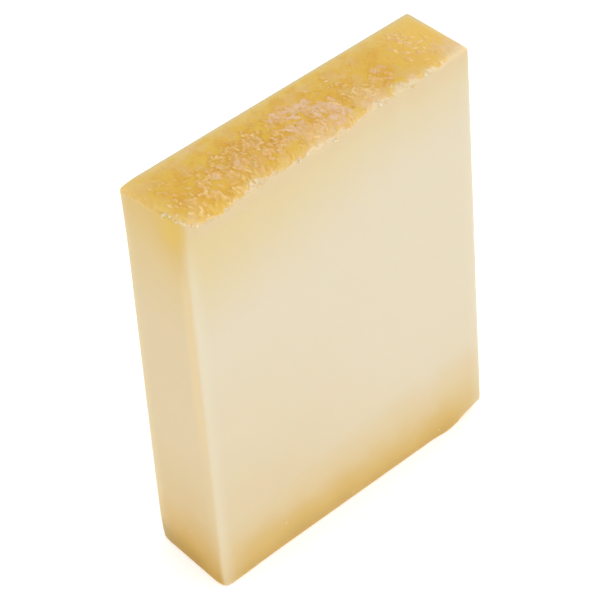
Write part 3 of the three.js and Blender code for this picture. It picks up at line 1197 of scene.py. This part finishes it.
def paste_colour(tree, known):
    """The paste: pale inside, yellower under the rind, golden at the foot with painted shade in the gold,
    deeper gold on the ends with a painted warm shade over them, a painted highlight at the upright edges and
    a painted lighter bare top.
    """
    broad = layered(tree, known, PASTE, PASTE_LAYERS)
    # The ends painted deeper and warmer, a painted shade for the light they take
    end = mix(tree, painted(tree, "end_share"), broad, END_PAINTED_WARM_SHADE, "MULTIPLY")
    sides = layered(tree, known, end, END_LAYERS)
    # The bare top painted lighter, a painted light for the strip that gets less light
    top = layered(tree, known, PASTE_TOP_PAINTED_LIGHT, TOP_LAYERS)
    return mix(tree, strength(tree, known, BARE_TOP), sides, top)


def scale_colour(tree):
    """Colour of a scale of crust."""
    return layered(tree, {}, SCALE_YELLOW, SCALE_LAYERS)


def rind_colour(tree, known):
    """Amber and gold crust with deeper spots, painted shade among crowded scales, pale edges and scales of
    peach and pink.
    """
    crust = layered(tree, known, RIND_AMBER, RIND_LAYERS)
    return mix(tree, strength(tree, known, SCALE_SHOWS), crust, scale_colour(tree))


def cheese_material():
    """The paste and its rind, told apart by the cover painted on the body."""
    material, tree, shader = new_material("cheese")
    known = cheese_measures(tree)
    rind = rind_colour(tree, known)
    lower_rind = mix(tree, LOWER_RIND_SHARE, rind, RIND_LOWER)
    made = mix(tree, known["on_rind"], paste_colour(tree, known), rind)
    made = mix(tree, strength(tree, known, UNDERSIDE), made, lower_rind)
    set_surface(tree, shader, made, strength(tree, known, CHEESE_ROUGHNESS), CHEESE_SPECULAR)
    let_light_in(tree, shader, known)
    fine = maths(tree, "ADD", grain(tree, "fine"), known["streaks"])
    add_bump(tree, shader, times(tree, fine, strength(tree, known, CHEESE_RELIEF)), *CHEESE_BUMP)
    return material


def flake_material():
    """Loose flakes of the crust, coloured as the scales that they lie on."""
    material, tree, shader = new_material("flake")
    set_surface(tree, shader, layered(tree, {}, scale_colour(tree), FLAKE_LAYERS), *FLAKE_GLOSS)
    add_bump(tree, shader, grain(tree, "flake_relief"), *LOOSE_BUMP)
    return material


def crumb_material():
    """Crumbs of paste and rind, from gold to cream."""
    material, tree, shader = new_material("crumb")
    set_surface(tree, shader, layered(tree, {}, CRUMB_GOLD, CRUMB_LAYERS), *CRUMB_GLOSS)
    add_bump(tree, shader, grain(tree, "crumb_relief"), *LOOSE_BUMP)
    return material


def floor_material():
    """Plain near-white floor that glows a little."""
    material, tree, shader = new_material("floor")
    set_surface(tree, shader, mix(tree, grain(tree, "floor"), FLOOR_GREY, FLOOR_WHITE), *FLOOR_GLOSS)
    fill_inputs(tree, shader, Emission_Color=WHITE, Emission_Strength=FLOOR_GLOW)
    return material


# Floor, light and camera


def make_floor():
    """A wide level floor just under the foot, which is no part of the object."""
    near, far, level = -FLOOR_HALF, FLOOR_HALF, FLOOR_LEVEL
    mesh = bpy.data.meshes.new("floor")
    corners = [(near, near, level), (far, near, level), (far, far, level), (near, far, level)]
    mesh.from_pydata(corners, [], [(0, 1, 2, 3)])
    mesh.materials.append(floor_material())
    floor = bpy.data.objects.new("floor", mesh)
    bpy.context.scene.collection.objects.link(floor)


def direction(azimuth, elevation):
    """The way from the object to a place seen at an azimuth and elevation in degrees."""
    turn = math.radians(azimuth)
    rise = math.radians(elevation)
    return Vector((math.sin(turn) * math.cos(rise), -math.cos(turn) * math.cos(rise), math.sin(rise)))


def make_light(name, azimuth, elevation, distance, size, power):
    """A soft square lamp that faces the middle of the cheese."""
    lamp = bpy.data.lights.new(name, "AREA")
    lamp.size = size
    lamp.energy = power
    light = bpy.data.objects.new(name, lamp)
    out = direction(azimuth, elevation)
    place = Vector((0, 0, HEIGHT / 2 * MM)) + out * distance
    light.matrix_world = Matrix.Translation(place) @ out.to_track_quat("Z", "Y").to_matrix().to_4x4()
    bpy.context.scene.collection.objects.link(light)


def make_world():
    """Even white surroundings."""
    world = bpy.data.worlds.new("surroundings")
    world.use_nodes = True
    background = world.node_tree.nodes["Background"]
    background.inputs["Color"].default_value = WHITE
    background.inputs["Strength"].default_value = WORLD_STRENGTH
    bpy.context.scene.world = world


def make_camera():
    """The photograph's view: a long lens, a little turned about its own axis."""
    back = direction(CAMERA_AZIMUTH, CAMERA_ELEVATION)
    turn = math.radians(CAMERA_AZIMUTH)
    roll = math.radians(CAMERA_ROLL)
    right = Vector((math.cos(turn), math.sin(turn), 0))
    up = back.cross(right)
    across = right * math.cos(roll) + up * math.sin(roll)
    upward = up * math.cos(roll) - right * math.sin(roll)
    lens = bpy.data.cameras.new("camera")
    lens.lens = CAMERA_LENS
    lens.sensor_width = SENSOR_WIDTH
    lens.clip_end = CLIP_END
    camera = bpy.data.objects.new("camera", lens)
    place = Vector(CAMERA_TARGET) * MM + back * CAMERA_DISTANCE * MM
    camera.matrix_world = Matrix.Translation(place) @ Matrix((across, upward, back)).transposed().to_4x4()
    bpy.context.scene.collection.objects.link(camera)
    bpy.context.scene.camera = camera


def set_tones():
    """Plain tones, bright enough for the floor to come out white."""
    view = bpy.context.scene.view_settings
    view.view_transform = "Standard"
    view.exposure = EXPOSURE


# Every scale on the rind, drawn once for the body and for the flakes
SCALES = scale_rows(np.random.default_rng(SEED))

make_body(cheese_material())
make_flakes(flake_material())
make_crumbs(crumb_material())
make_floor()
make_light("key", *KEY_LIGHT)
make_world()
make_camera()
set_tones()
